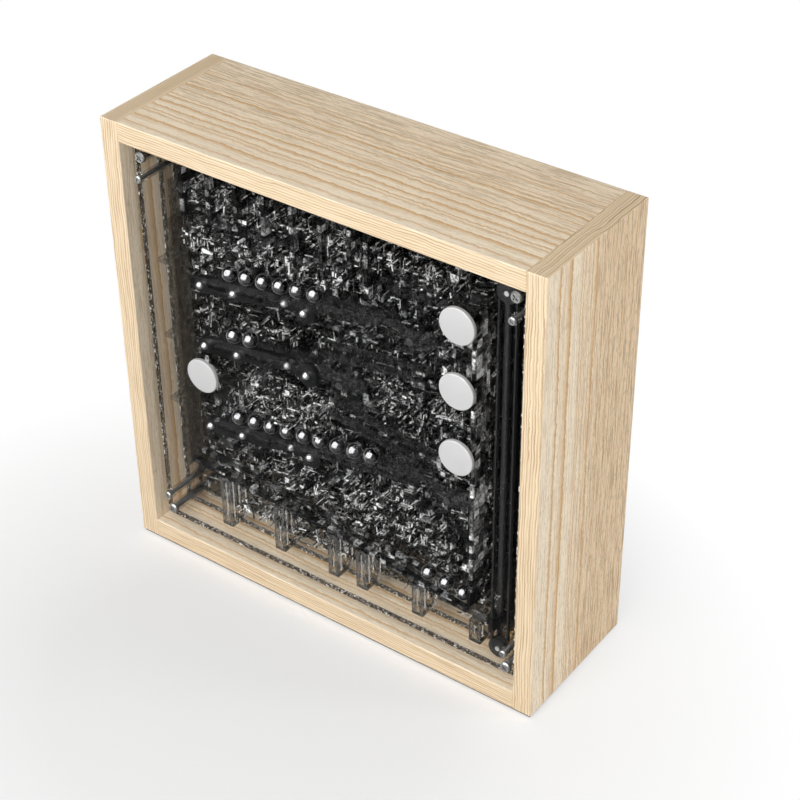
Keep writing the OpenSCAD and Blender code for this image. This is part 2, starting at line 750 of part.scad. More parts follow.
module idler_shaft() raised() color("silver")
    bar_y(pulley_x, pulley_top_z, shaft_front, y_bearing_back - shaft_front + 1, shaft_r);

module bush(z, y, t) difference() {
    union() {
        bar_y(pulley_x, z, y - eps, t + eps, bush_r);
        bar_y(pulley_x, z, y - bush_head[1], bush_head[1], bush_head[0]);
    }
    bar_y(pulley_x, z, y - 2, t + 3, shaft_r + run_fit);
}

module shaft_bushes() raised() color("goldenrod") {
    for (z = [pulley_z, pulley_top_z]) {
        bush(z, y_track, plate_t);
        bush(z, y_bearing, plate_t);
    }
    bush(pulley_z, y_black, back_t);
}

module guide_rod() raised() color([0.2, 0.2, 0.2])
    translate([rod_at[0], rod_at[1], rod_low]) cylinder(h = case_h - 2 * rod_low, r = rod_r);

rod_low = 19;
rod_block = [8, 4.5];

module rod_blocks() raised() color("gainsboro", 0.5)
    for (z = [rod_low - 1, case_h - rod_low + 1 - rod_block[1]])
        difference() {
            translate([rod_at[0] - rod_block[0] / 2, rod_at[1] - rod_r - 1.2, z])
                cube([rod_block[0], y_track - side_gap - rod_at[1] + rod_r + 1.2, rod_block[1]]);
            translate([rod_at[0], rod_at[1], rod_low]) cylinder(h = case_h - 2 * rod_low, r = rod_r + hole_gap);
        }

carriage_top = cup_z - 4;
carriage_left = belt_x - belt[1] / 2 - 0.9;

module carriage() raised() color([0.15, 0.15, 0.16]) difference() {
    union() {
        translate([carriage_left, rod_at[1] - rod_r - 1.6, carriage_top - carriage_h])
            cube([rod_at[0] + rod_r + 0.8 - carriage_left, y_track - 0.6 - rod_at[1] + rod_r + 1.6, carriage_h]);
        translate([carriage_left, belt_y - belt[0] / 2 - 0.7, carriage_top - carriage_h])
            cube([belt[1] + 1.8, belt[0] + 3.2, carriage_h]);
    }
    translate([rod_at[0], rod_at[1], 0]) cylinder(h = case_h, r = rod_r + run_fit);
    translate([belt_x - belt[1] / 2 - run_fit, belt_y - belt[0] / 2 - run_fit, 0])
        cube([belt[1] + 2 * run_fit, belt[0] + 2 * run_fit, case_h]);
}

// An open cup: a floor and a lip at the front, back and right
module lift_cup() raised() color("gainsboro", 0.5) {
    left = cup_x - ball_r;
    front = y_channel + 0.8;
    deep = channel_t - 1.6;
    wide = carriage_left - left;
    translate([left, 0, cup_z - cup_floor]) sheet(front, deep)
        polygon([[0, -cup_t], [wide, -cup_t], [wide, 0.6], [0, -0.6]]);
    for (y = [front, front + deep - 1.2])
        translate([left, y, cup_z - cup_floor - eps]) cube([carriage_left - left, 1.2, 4]);
    translate([carriage_left - 0.6, front, cup_z - cup_floor - eps]) cube([0.6, deep, 4]);
}

gate_x = wall_x - 0.4 - gate_t;

gate_w = 10;
gate_foot = reserve_z - (gate_x - reserve_x) * tan(slope) - rail_top / cos(slope) + 0.05;

module feed_gate() raised() color([0.15, 0.15, 0.16])
    translate([gate_x, y_ball - gate_w / 2, gate_foot]) cube([gate_t, gate_w, 32]);

// ---------- motor and electrics behind the back plate ----------

motor_y = gear_y + gear_w + 1;
motor_back = y_cover - motor_gap;

module motor_gear() raised() color("white") {
    translate([motor_x, 0, pulley_z]) sheet(gear_y, gear_w) difference() {
        rotate(180 / motor_teeth) gear_outline(motor_teeth);
        for (a = [0 : 90 : 270]) rotate(a + 45) translate([gear_m * motor_teeth * 0.28, 0]) circle(1.6);
    }
    bar_y(motor_x, pulley_z, gear_y + gear_w - eps, 5, shaft_r);
}

// The motor, its gearbox and a three-legged plate that stands on the back plate
module gear_motor() raised() color("darkgray") difference() {
    union() {
        bar_y(motor_x, pulley_z, motor_y, gearbox[1], gearbox[0]);
        bar_y(motor_x, pulley_z, motor_y + gearbox[1] - eps, motor_back - motor_y - gearbox[1] + eps, motor_r);
        for (a = [75, 165, 240]) {
            leg = (gear_m * motor_teeth / 2 + 3.6) * [cos(a), sin(a)];
            translate([motor_x, 0, pulley_z]) sheet(motor_y, 1.5) arm([0, 0], leg, 4);
            bar_y(motor_x + leg[0], pulley_z + leg[1], y_black_back, motor_y - y_black_back + 1, 1.9);
        }
    }
    bar_y(motor_x, pulley_z, motor_y - 1, 6, shaft_r + run_fit);
}

board_at = [-50, 60];
board_size = [70, 50, 1.6];
board_y = y_black_back + 6;

module circuit_board() raised() {
    color("darkgreen") translate([board_at[0], board_y, board_at[1]])
        cube([board_size[0], board_size[2], board_size[1]]);
    color("gray") for (x = [4, board_size[0] - 4], z = [4, board_size[1] - 4])
        bar_y(board_at[0] + x, board_at[1] + z, y_black_back, 6 + eps, 2.5);
    color([0.1, 0.1, 0.1]) for (p = [[20, 26, 12], [44, 16, 8], [52, 34, 9]])
        translate([board_at[0] + p[0] - p[2] / 2, board_y + board_size[2] - eps, board_at[1] + p[1] - p[2] / 2])
            cube([p[2], 2, p[2]]);
}

module power_jack() raised() color([0.1, 0.1, 0.1]) translate([jack_at[0], 0, jack_at[1]]) difference() {
    union() {
        bar_y(0, 0, y_cover - 12, 12 + cover_t, jack_r);
        bar_y(0, 0, y_cover + cover_t, 1.6, jack_r + 2);
        bar_y(0, 0, y_cover - 3, 3, jack_r + 2);
    }
    bar_y(0, 0, y_cover - 8, 20, 2.8);
}

// ---------- buttons ----------
clip = [3.5, 1];

module button(p) raised() color("whitesmoke") {
    bar_y(p[0], p[1], y_front - button_travel - 0.6 - cap_t, cap_t, cap_r);
    bar_y(p[0], p[1], y_front - button_travel - 0.6 - eps, button_travel + 0.6 + plate_t + 0.3 + 2 * eps, stem_r);
    bar_y(p[0], p[1], y_channel + 0.3, clip[1], clip[0]);
}

// Spring washers under the caps, drawn pressed flat
module button_springs() raised() color("silver")
    for (p = button_places()) difference() {
        bar_y(p[0], p[1], y_front - 0.5, 0.5, 4.6);
        bar_y(p[0], p[1], y_front - 1, 2, 2.9);
    }

module minute_button() button([button_x, button_z[0]]);
module ten_minute_button() button([button_x, button_z[1]]);
module hour_button() button([button_x, button_z[2]]);
module release_button() button(release_at);

frame_top();
frame_bottom();
frame_left();
frame_right();
base_pad();
front_plate();
track_plate();
bearing_plate();
back_plate();
rear_cover();
corner_blocks();
corner_screws();
small_screws();
cover_screws();
standoff_tubes();
row_rails();
transfer_rails();
trough_rails();
trough_brackets();
left_guide();
lift_wall();
clear_fins();
minute_lever();
ten_minute_lever();
hour_lever();
minute_studs();
ten_minute_studs();
hour_studs();
minute_link();
ten_minute_link();
hour_link();
minute_tray();
ten_minute_tray();
hour_tray();
tray_pins();
lever_springs();
minute_balls();
ten_minute_balls();
hour_balls();
reserve_balls();
lift_belt();
drive_pulley();
idler_pulley();
drive_shaft();
idler_shaft();
guide_rod();
rod_blocks();
carriage();
lift_cup();
feed_gate();
shaft_bushes();
motor_gear();
gear_motor();
circuit_board();
power_jack();
minute_button();
ten_minute_button();
hour_button();
release_button();
button_springs();
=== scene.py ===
import bpy, bmesh, json, math, random
from mathutils import Vector, Matrix

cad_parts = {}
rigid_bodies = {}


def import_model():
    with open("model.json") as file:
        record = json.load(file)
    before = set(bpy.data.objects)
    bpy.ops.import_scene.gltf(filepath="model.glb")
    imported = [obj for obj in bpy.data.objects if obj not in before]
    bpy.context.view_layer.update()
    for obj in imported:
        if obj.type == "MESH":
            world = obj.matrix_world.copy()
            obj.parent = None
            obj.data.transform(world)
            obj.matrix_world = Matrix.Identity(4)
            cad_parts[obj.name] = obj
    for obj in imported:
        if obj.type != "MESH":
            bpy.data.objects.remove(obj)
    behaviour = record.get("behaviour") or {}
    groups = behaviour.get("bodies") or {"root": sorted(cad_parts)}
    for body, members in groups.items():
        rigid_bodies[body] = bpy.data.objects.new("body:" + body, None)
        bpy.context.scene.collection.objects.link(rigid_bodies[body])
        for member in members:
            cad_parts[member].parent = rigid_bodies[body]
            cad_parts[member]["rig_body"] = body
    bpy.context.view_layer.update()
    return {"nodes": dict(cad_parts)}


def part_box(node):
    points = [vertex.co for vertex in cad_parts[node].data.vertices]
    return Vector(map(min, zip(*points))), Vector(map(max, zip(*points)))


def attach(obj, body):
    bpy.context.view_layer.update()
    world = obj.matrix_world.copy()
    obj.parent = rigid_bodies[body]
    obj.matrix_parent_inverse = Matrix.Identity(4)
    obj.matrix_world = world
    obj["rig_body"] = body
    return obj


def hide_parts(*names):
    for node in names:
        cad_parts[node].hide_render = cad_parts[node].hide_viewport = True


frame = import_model()
nodes = frame["nodes"]
scene = bpy.context.scene

# camera at the photograph's viewing angle
view = {
    "lens": 89.29,
    "sensor": 36,
    "clip": 0.01,
    "position": (0.5806, -0.7610, 0.8232),
    "forward": (-0.480632, 0.655355, -0.582664),
    "roll": math.radians(-0.61),
}


def makeCamera():
    data = bpy.data.cameras.new("mainCamera")
    data.lens = view["lens"]
    data.sensor_width = view["sensor"]
    data.clip_start = view["clip"]
    camera = bpy.data.objects.new("mainCamera", data)
    camera.location = view["position"]
    camera.rotation_mode = "QUATERNION"
    aim = Vector(view["forward"]).normalized().to_track_quat("-Z", "Y")
    camera.rotation_quaternion = aim @ Matrix.Rotation(view["roll"], 3, "Z").to_quaternion()
    scene.collection.objects.link(camera)
    scene.camera = camera


makeCamera()
scene.view_settings.view_transform = "Standard"
print("camera set")


class Sock:
    # one output socket, so that shader maths reads as plain expressions
    def __init__(self, tree, socket):
        self.tree = tree
        self.socket = socket

    def math(self, operation, *values):
        node = self.tree.nodes.new("ShaderNodeMath")
        node.operation = operation
        for i, value in enumerate(values):
            if isinstance(value, Sock):
                self.tree.links.new(value.socket, node.inputs[i])
            else:
                node.inputs[i].default_value = value
        return Sock(self.tree, node.outputs[0])

    def __add__(self, other): return self.math("ADD", self, other)
    def __radd__(self, other): return self.math("ADD", other, self)
    def __sub__(self, other): return self.math("SUBTRACT", self, other)
    def __rsub__(self, other): return self.math("SUBTRACT", other, self)
    def __mul__(self, other): return self.math("MULTIPLY", self, other)
    def __rmul__(self, other): return self.math("MULTIPLY", other, self)
    def __pow__(self, power): return self.math("POWER", self, power)
    def larger(self, other): return self.math("MAXIMUM", self, other)
    def fract(self): return self.math("FRACT", self)
    def floor(self): return self.math("FLOOR", self)
    def abs(self): return self.math("ABSOLUTE", self)
    def clamp(self): return self.math("MINIMUM", self.larger(0.0), 1.0)

    # 0 below low, 1 above high
    def step(self, low, high): return ((self - low) * (1.0 / (high - low))).clamp()


class Mat:
    # the nodes of one material, or of the world
    def __init__(self, name, owners=bpy.data.materials, output="ShaderNodeOutputMaterial"):
        self.owner = owners.new(name)
        self.owner.use_nodes = True
        self.tree = self.owner.node_tree
        self.tree.nodes.clear()
        self.out = self.tree.nodes.new(output)

    def node(self, kind, settings=None, values=None, output=0):
        node = self.tree.nodes.new(kind)
        for key, value in (settings or {}).items():
            setattr(node, key, value)
        for key, value in (values or {}).items():
            if isinstance(value, Sock):
                self.tree.links.new(value.socket, node.inputs[key])
            else:
                node.inputs[key].default_value = value
        return node if output is None else Sock(self.tree, node.outputs[output])

    def place(self):
        return self.node("ShaderNodeTexCoord", output="Object")

    def ray(self, kind):
        return self.node("ShaderNodeLightPath", output="Is " + kind + " Ray")

    def xyz(self, vector):
        node = self.node("ShaderNodeSeparateXYZ", values={0: vector}, output=None)
        return [Sock(self.tree, socket) for socket in node.outputs]

    def vector(self, x, y, z):
        return self.node("ShaderNodeCombineXYZ", values={0: x, 1: y, 2: z})

    def noise(self, vector, scale=1.0, detail=2.0, rough=0.5):
        values = {"Vector": vector, "Scale": scale, "Detail": detail, "Roughness": rough}
        return self.node("ShaderNodeTexNoise", values=values)

    def mix(self, factor, first, second):
        first, second = (c if isinstance(c, Sock) else (*c, 1) for c in (first, second))
        return self.node("ShaderNodeMix", {"data_type": "RGBA"}, {0: factor, 6: first, 7: second}, output=2)

    def bump(self, height, strength, distance):
        values = {"Height": height, "Strength": strength, "Distance": distance}
        return self.node("ShaderNodeBump", values=values)

    def principled(self, **values):
        values = {key.replace("_", " "): value for key, value in values.items()}
        return self.node("ShaderNodeBsdfPrincipled", values=values)

    def blend(self, factor, first, second):
        return self.node("ShaderNodeMixShader", values={0: factor, 1: first, 2: second})

    def surface(self, shader):
        self.tree.links.new(shader.socket, self.out.inputs["Surface"])
        return self.owner


def paint(material, *names):
    for name in names:
        for slot in nodes[name].material_slots:
            slot.material = material


# ash boards; all lengths in this dictionary and in the rings are millimetres
ash = {
    "pale": (0.84, 0.72, 0.55),
    "warm": (0.72, 0.545, 0.355),
    "line": (0.36, 0.235, 0.12),
    "pore": (0.30, 0.21, 0.12),
    "ochre": (0.55, 0.30, 0.085),
    "cream": (0.74, 0.59, 0.395),   # the sawn faces, with their grain and stripes
    "grain": (0.56, 0.41, 0.24),
    "tan": (0.36, 0.215, 0.095),
    "halfDepth": 49.2,
    "zigzag": 3.2,                  # how far a ring line zigzags
    "ringEnd": 0.7,                 # how soon a bold ring ends
    "ringGain": 1.15,
    "stripes": 0.60,                # stripes per millimetre on a sawn face
    "rough": 0.52,
    "ior": 1.40,
    "bump": 0.35,
    "relief": 0.00025,              # metres
}
# the bold rings of the top and bottom and of the sides: where each ends behind the front edge, how
# long it takes to darken, and its strength
topRings = (
    (5.3, 2.4, 0.7), (14.6, 4.8, 1.0), (21.2, 2.2, 0.65), (24.0, 1.8, 0.8), (29.6, 3.4, 1.0),
    (36.3, 3.8, 1.0), (42.9, 2.6, 0.8), (46.0, 1.6, 0.7), (53.2, 1.5, 0.65), (60.2, 3.0, 1.0),
    (64.6, 1.6, 0.6), (68.2, 1.5, 0.6), (76.6, 2.0, 0.65), (80.2, 1.6, 0.55), (85.4, 1.4, 0.5),
)
sideRings = (
    (13.4, 3.0, 0.9), (17.6, 1.2, 0.3), (23.8, 6.2, 1.0), (34.4, 1.4, 0.6), (36.8, 1.2, 0.6),
    (40.6, 1.2, 0.5), (44.6, 1.2, 0.4), (48.8, 3.2, 0.9), (57.0, 1.5, 0.4), (66.0, 1.4, 0.4),
    (78.0, 1.6, 0.4), (88.0, 1.4, 0.4),
)


def ashMaterial(name, along, through, shift, rings, dense, aged):
    m = Mat(name)
    p = [v * 1000.0 for v in m.xyz(m.place())]
    length, thick, depth = p[along], p[through], p[1] + ash["halfDepth"]

    # the rings wander slowly, in waves and in a fine zigzag
    slow = m.noise(m.vector(length * 0.006 + shift, depth * 0.016, thick * 0.02), detail=1.0) - 0.5
    wave = m.noise(m.vector(length * 0.035, depth * 0.06 + shift, thick * 0.05), detail=1.0) - 0.5
    jag = m.noise(m.vector(length * 0.24, depth * 0.12, thick * 0.10 + shift), detail=3.0, rough=0.65) - 0.5
    warped = depth + slow * 4.0 + wave * 2.4 + jag * ash["zigzag"]
    bold = None
    for place, width, strength in rings:
        rise = warped.step(place - width, place)
        fall = 1 - warped.step(place, place + ash["ringEnd"])
        band = rise * (0.3 + 0.7 * rise) * fall * min(1, strength * ash["ringGain"])
        bold = band if bold is None else bold.larger(band)

    # between them lie soft streaks, hair lines and pores, closer and darker towards the back
    back = depth.step(30.0, 60.0)
    fineWarp = depth + jag * 1.8 + slow * 8.0 + wave * 2.0
    fine = m.noise(m.vector(length * 0.010, fineWarp * 0.50, thick * 0.6 + shift), detail=1.5)
    hair = m.noise(m.vector(length * 0.035, fineWarp * 0.95 + shift, thick * 1.2), detail=1.5)
    pore = m.noise(m.vector(length * 0.20, depth * 1.1 + shift, thick * 1.1), detail=1.5)
    fine, hair, pore = fine.step(0.44, 0.64), hair.step(0.50, 0.60), pore.step(0.54, 0.64)
    colour = m.mix(back * aged + fine * 0.25, ash["pale"], ash["warm"])
    colour = m.mix(hair * (0.26 + 0.34 * back) * dense, colour, ash["line"])
    colour = m.mix(bold, colour, ash["ochre"])
    colour = m.mix(pore * (0.22 + 0.14 * back) * dense, colour, ash["pore"])

    # front edges and ends, sawn square to the rings, show cream between brown stripes
    normal = m.xyz(m.node("ShaderNodeNewGeometry", output="Normal"))
    sawn = (normal[1] * -1.0).step(0.6, 0.9).larger(normal[along].abs().step(0.6, 0.9))
    uneven = m.noise(m.vector(length * 0.004, 0.5, thick * 0.42 + shift), detail=1.0)
    across = (thick + wave * 3.0 + jag * 0.9 + slow * 5.0) * ash["stripes"] + uneven * 1.1 + shift
    ring = across.fract()
    chance = m.noise(m.vector((across - ring) * 0.73, length * 0.014, 0.5), scale=2.0, detail=0.0)
    stripe = ring.step(0.35, 0.85) * (1 - ring.step(0.88, 1.0)) * (0.45 + 0.55 * chance.step(0.30, 0.6))
    grain = m.noise(m.vector(length * 0.05, 0.5, thick * 1.7 + jag * 1.2 + shift), detail=2.0)
    plain = m.mix(grain.step(0.46, 0.60) * 0.5, ash["cream"], ash["grain"])
    edge = m.mix(stripe * 0.95, plain, ash["tan"])
    colour = m.mix(sawn * 0.95, colour, edge)

    height = bold * -0.6 - hair * 0.3 - pore * 0.6
    shader = m.principled(Base_Color=colour, Roughness=ash["rough"] + bold * 0.08, IOR=ash["ior"],
                          Normal=m.bump(height, ash["bump"], ash["relief"]))
    return m.surface(shader)


paint(ashMaterial("ashTop", 0, 2, 3.1, topRings, 0.8, 0.3), "frame_top")
paint(ashMaterial("ashBottom", 0, 2, 8.7, topRings, 0.8, 0.3), "frame_bottom")
paint(ashMaterial("ashLeft", 2, 0, 5.3, sideRings, 1.0, 0.9), "frame_left")
paint(ashMaterial("ashRight", 2, 0, 1.9, sideRings, 1.25, 0.9), "frame_right")
print("ash boards done")

# clear plastic; a low IOR and alpha keep the many layers from veiling what lies behind them
clear = {
    "plate": {"ior": 1.2, "tint": (0.97, 0.975, 0.975), "alpha": 0.05},
    "part": {"ior": 1.45, "tint": (0.50, 0.49, 0.47), "wave": 0.3},
    "sleeve": {"ior": 1.3, "tint": (0.90, 0.91, 0.91), "alpha": 0.35},
    "faintIor": 1.12,
    "quietRough": 0.14,
    "shardDark": (0.003, 0.003, 0.003),
    # the colour of the painted glints on clear bits
    "shardGlint": (0.95, 0.95, 0.94),
    # the plates' edges: a dark base and the colour of the painted glints on it
    "edgeDark": (0.03, 0.027, 0.024),
    "edgeGlint": (0.82, 0.79, 0.74),
    "edgeRough": 0.15,
    "edgeIor": 1.45,
}


def clearMaterial(name, ior, tint, wave=0.0, alpha=1.0):
    m = Mat(name)
    values = {"Base_Color": (*tint, 1), "Roughness": 0.0, "IOR": ior, "Transmission_Weight": 1.0,
              "Alpha": alpha}
    if wave:
        values["Normal"] = m.bump(m.noise(m.place(), scale=60.0, detail=1.0), wave, 0.001)
    glass = m.principled(**values)
    through = m.node("ShaderNodeBsdfTransparent", values={"Color": (*tint, 1)})
    return m.surface(m.blend(m.ray("Shadow"), glass, through))


def quietMaterial(name, dark, pale, low, high):
    # clear rails and links, hardly visible in front of the black panel, with painted light: pale specks on a
    # dark base stand in for the light they catch and pass; low and high are alphas
    m = Mat(name)
    # the mask of the painted sparkle, which also sets the alpha
    speck = m.noise(m.place(), scale=420.0, detail=2.0, rough=0.6).step(0.40, 0.68)
    return m.surface(m.principled(Base_Color=m.mix(speck, dark, pale), Roughness=clear["quietRough"],
                                  IOR=clear["faintIor"], Alpha=speck * (high - low) + low))


def shardMaterial(name, cell, bright, low, high, power):
    # clear bits seen against black, with painted glints: the light they would bend is painted into their
    # colour, changing from one cell, in millimetres, to the next, and a high power keeps most cells dark
    m = Mat(name)
    cells = [(v * (1000.0 / cell) + 0.37).floor() for v in m.xyz(m.place())]
    chance = m.node("ShaderNodeTexWhiteNoise", {"noise_dimensions": "3D"}, {"Vector": m.vector(*cells)})
    fine = m.noise(m.place(), scale=700.0, detail=1.0).step(0.36, 0.62)
    # painted glints: how bright each cell is painted, standing in for the light it would bend or reflect
    light = (chance ** power) * (0.12 + 0.88 * fine) * bright
    other = m.noise(m.place(), scale=230.0, detail=0.0).step(0.40, 0.60)
    return m.surface(m.principled(Base_Color=m.mix(light, clear["shardDark"], clear["shardGlint"]),
                                  Roughness=0.12 + fine * 0.1, IOR=clear["faintIor"],
                                  Alpha=other * (high - low) + low))


def edgeMaterial():
    # the plates' sawn edges as speckled lines: the light they catch is painted in as pale glints on a dark
    # base
    m = Mat("plateEdge")
    x, y, z = m.xyz(m.place())
    speck = m.noise(m.vector(x * 700.0, y * 900.0, z * 380.0), detail=2.0, rough=0.7).step(0.54, 0.64)
    tone = m.mix(speck, clear["edgeDark"], clear["edgeGlint"])
    return m.surface(m.principled(Base_Color=tone, Roughness=clear["edgeRough"], IOR=clear["edgeIor"],
                                  Alpha=speck * 0.3 + 0.65))


plateClear = clearMaterial("clearPlate", **clear["plate"])
partClear = clearMaterial("clearPart", **clear["part"])
sleeveClear = clearMaterial("clearSleeve", **clear["sleeve"])
# the second colour of each is the painted sparkle
railClear = quietMaterial("clearRail", (0.006, 0.006, 0.006), (0.10, 0.10, 0.10), 0.12, 0.40)
linkClear = quietMaterial("clearLink", (0.008, 0.008, 0.008), (0.14, 0.14, 0.14), 0.12, 0.34)
guideClear = quietMaterial("clearGuide", (0.008, 0.007, 0.006), (0.17, 0.15, 0.12), 0.14, 0.58)
# the second number says how bright the painted glints may be
shardClear = shardMaterial("clearShard", 3.0, 3.6, 0.7, 1.0, 5.5)
shardDark = shardMaterial("darkShard", 4.0, 0.9, 0.55, 0.95, 6.0)
shardWall = shardMaterial("wallShard", 5.0, 2.4, 0.35, 0.85, 4.0)
paint(plateClear, "front_plate", "track_plate", "bearing_plate")
paint(sleeveClear, "standoff_tubes")
paint(railClear, "row_rails", "transfer_rails", "rod_blocks")
paint(linkClear, "minute_link", "ten_minute_link", "hour_link", "minute_tray", "ten_minute_tray", "hour_tray")
paint(shardDark, "clear_fins", "trough_rails")
paint(shardWall, "lift_wall")
paint(guideClear, "left_guide")
paint(partClear, "trough_brackets", "lift_cup")
print("clear parts done")

# metals: colour, roughness, how much darker the streaks are, and the pieces
metals = {
    "studChrome": ((0.21, 0.21, 0.21), 0.32, 0.0, ("minute_studs", "ten_minute_studs", "hour_studs")),
    "screwSteel": ((0.20, 0.20, 0.195), 0.38, 0.5, ("corner_screws", "small_screws")),
    "shaftSteel": ((0.50, 0.50, 0.50), 0.25, 0.1,
                   ("drive_shaft", "idler_shaft", "lever_springs", "button_springs")),
    "darkSteel": ((0.04, 0.04, 0.042), 0.35, 0.2, ("guide_rod", "cover_screws", "tray_pins")),
    "bronze": ((0.55, 0.36, 0.16), 0.35, 0.2, ("shaft_bushes",)),
    "motorSteel": ((0.48, 0.48, 0.48), 0.4, 0.2, ("gear_motor",)),
}
# plastics, rubber and soft wood: colour, roughness, how far the colour varies, IOR, and the pieces
plastics = {
    "leverBlack": ((0.005, 0.005, 0.0053), 0.45, 0.15, 1.1,
                   ("minute_lever", "ten_minute_lever", "hour_lever", "carriage", "feed_gate")),
    "panelBlack": ((0.003, 0.003, 0.003), 0.5, 0.15, 1.08, ("back_plate",)),
    "coverBlack": ((0.018, 0.018, 0.018), 0.5, 0.15, 1.45, ("rear_cover", "power_jack")),
    "beltBlack": ((0.006, 0.006, 0.006), 0.6, 0.15, 1.2, ("drive_pulley", "idler_pulley", "lift_belt")),
    "padRubber": ((0.02, 0.02, 0.02), 0.8, 0.15, 1.45, ("base_pad",)),
    "gearWhite": ((0.62, 0.61, 0.58), 0.45, 0.15, 1.45, ("motor_gear",)),
    "boardGreen": ((0.02, 0.12, 0.05), 0.35, 0.15, 1.45, ("circuit_board",)),
    "buttonWhite": ((0.49, 0.49, 0.49), 0.5, 0.10, 1.45,
                    ("minute_button", "ten_minute_button", "hour_button", "release_button")),
    "pineBlock": ((0.45, 0.32, 0.19), 0.6, 0.15, 1.45, ("corner_blocks",)),
}
# the ball's face colour, and the painted rim highlight with where it starts and ends as the surface turns
# away from the eye
steelBall = {
    "face": (0.075, 0.075, 0.077),
    "paintedRim": (0.60, 0.60, 0.60),
    "paintedRimFrom": 0.55,
    "paintedRimTo": 0.80,
    "rough": 0.015,
}


def metalMaterial(name, colour, rough, streak):
    m = Mat(name)
    marks = m.noise(m.place(), scale=900.0, detail=3.0, rough=0.6)
    tone = m.mix(marks.step(0.35, 0.75), colour, [c * (1 - streak) for c in colour])
    return m.surface(m.principled(Base_Color=tone, Metallic=1.0, Roughness=rough + marks * 0.5 * rough,
                                  Normal=m.bump(marks, 0.05, 0.0001)))


def plasticMaterial(name, colour, rough, spread, ior):
    m = Mat(name)
    speck = m.noise(m.place(), scale=700.0, detail=3.0, rough=0.6)
    broad = m.noise(m.place(), scale=18.0, detail=2.0)
    tone = m.mix(broad.step(0.3, 0.7) * 0.6 + speck * 0.4, colour, [c * (1 - spread) for c in colour])
    return m.surface(m.principled(Base_Color=tone, Roughness=rough + speck * 0.12 - 0.06, IOR=ior,
                                  Normal=m.bump(speck, 0.1, 0.0001)))


def ballMaterial():
    # polished steel: near black where it faces the eye, with a painted highlight: a bright thin rim painted
    # into the colour where the surface turns away from the eye
    m = Mat("ballSteel")
    scratch = m.noise(m.place(), scale=1500.0, detail=2.0)
    facing = m.node("ShaderNodeLayerWeight", values={"Blend": 0.5}, output=1)
    # painted highlight: the rim is made lighter and less metallic by how far the surface turns from the eye
    paintedRim = facing.step(steelBall["paintedRimFrom"], steelBall["paintedRimTo"])
    return m.surface(m.principled(Base_Color=m.mix(paintedRim, steelBall["face"], steelBall["paintedRim"]),
                                  Metallic=1.0 - paintedRim * 0.7,
                                  Roughness=steelBall["rough"] + scratch * steelBall["rough"]))


paint(ballMaterial(), "minute_balls", "ten_minute_balls", "hour_balls", "reserve_balls")
for name, (colour, rough, streak, pieces) in metals.items():
    paint(metalMaterial(name, colour, rough, streak), *pieces)
for name, (colour, rough, spread, ior, pieces) in plastics.items():
    paint(plasticMaterial(name, colour, rough, spread, ior), *pieces)
print("metals and plastics done")


def meshPiece(name, mesh, material, body="case"):
    data = bpy.data.meshes.new(name)
    bmesh.ops.recalc_face_normals(mesh, faces=mesh.faces)
    mesh.to_mesh(data)
    mesh.free()
    piece = bpy.data.objects.new(name, data)
    scene.collection.objects.link(piece)
    data.materials.append(material)
    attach(piece, body)
    return piece


# copies with rounded edges, each shown in place of its CAD piece
rounds = {
    "button": 0.0011,
    "board": 0.0005,
    "lever": 0.0005,
    "weld": 0.00001,
    "flat": math.radians(1),
    "smooth": math.radians(25),
    "sharp": math.radians(38),
}


def roundedCopy(width, segments, slot, *names):
    for name in names:
        mesh = bmesh.new()
        mesh.from_mesh(nodes[name].data)
        bmesh.ops.remove_doubles(mesh, verts=mesh.verts, dist=rounds["weld"])
        bmesh.ops.dissolve_limit(mesh, angle_limit=rounds["flat"], verts=mesh.verts, edges=mesh.edges)
        sharp = [e for e in mesh.edges if len(e.link_faces) == 2 and e.calc_face_angle() > rounds["sharp"]]
        bmesh.ops.bevel(mesh, geom=sharp, offset=width, segments=segments, profile=0.5, affect="EDGES",
                        clamp_overlap=True)
        piece = meshPiece(name + "_rounded", mesh, nodes[name].material_slots[0].material,
                          nodes[name]["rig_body"])
        piece.data.polygons.foreach_set("use_smooth", [True] * len(piece.data.polygons))
        piece.data.set_sharp_from_angle(angle=rounds["smooth"])
        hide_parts(name)


roundedCopy(rounds["button"], 4, "button_white", "minute_button", "ten_minute_button", "hour_button",
            "release_button")
roundedCopy(rounds["board"], 2, "ash", "frame_top", "frame_bottom", "frame_left", "frame_right")
roundedCopy(rounds["lever"], 2, "lever_black", "minute_lever", "ten_minute_lever", "hour_lever")
print("edges rounded")

# clear works between and behind the plates, in metres
works = {
    "seed": 7,
    "slope": math.radians(8),
    "ribFront": -0.0205,
    "ribs": 44,
    "channel": (-0.0379, -0.0239, 1300),        # y from and to, and how many strokes
    "bearing": (-0.0190, -0.0120, 3000),
    "back": (-0.0084, 0.0086, 1200),
    "through": 0.44,                            # share of strokes through the gap
    "upright": 0.68,                            # and of those and upright ones
    "level": 0.93,                              # and of those and ones along the rows
    "wheels": 16,
    "wheelDeep": 0.0026,
    "wheelBore": 0.003,
    "edgeWide": 0.0008,
    "postWide": 0.0022,
    "postMiddle": 0.1515,
    "postTall": 0.205,
}
# each zone: x from and to, z from and to, and its rise to the right
wholePlate = ((-0.126, 0.100, 0.022, 0.272, 0.0),)
channelZones = (
    (-0.110, 0.024, 0.221, 0.236, 0.10), (-0.110, 0.090, 0.255, 0.272, 0.0),
    (-0.070, -0.022, 0.177, 0.188, 0.14), (0.027, 0.060, 0.158, 0.184, 0.0),
    (0.068, 0.092, 0.176, 0.194, 0.0), (0.073, 0.084, 0.200, 0.246, 0.0),
    (0.000, 0.060, 0.070, 0.106, 0.0), (-0.070, -0.004, 0.121, 0.146, 0.10),
    (0.062, 0.084, 0.072, 0.096, 0.0), (-0.080, 0.010, 0.040, 0.052, 0.0),
    (-0.060, 0.010, 0.076, 0.090, 0.0), (0.105, 0.118, 0.060, 0.064, 0.0),
)


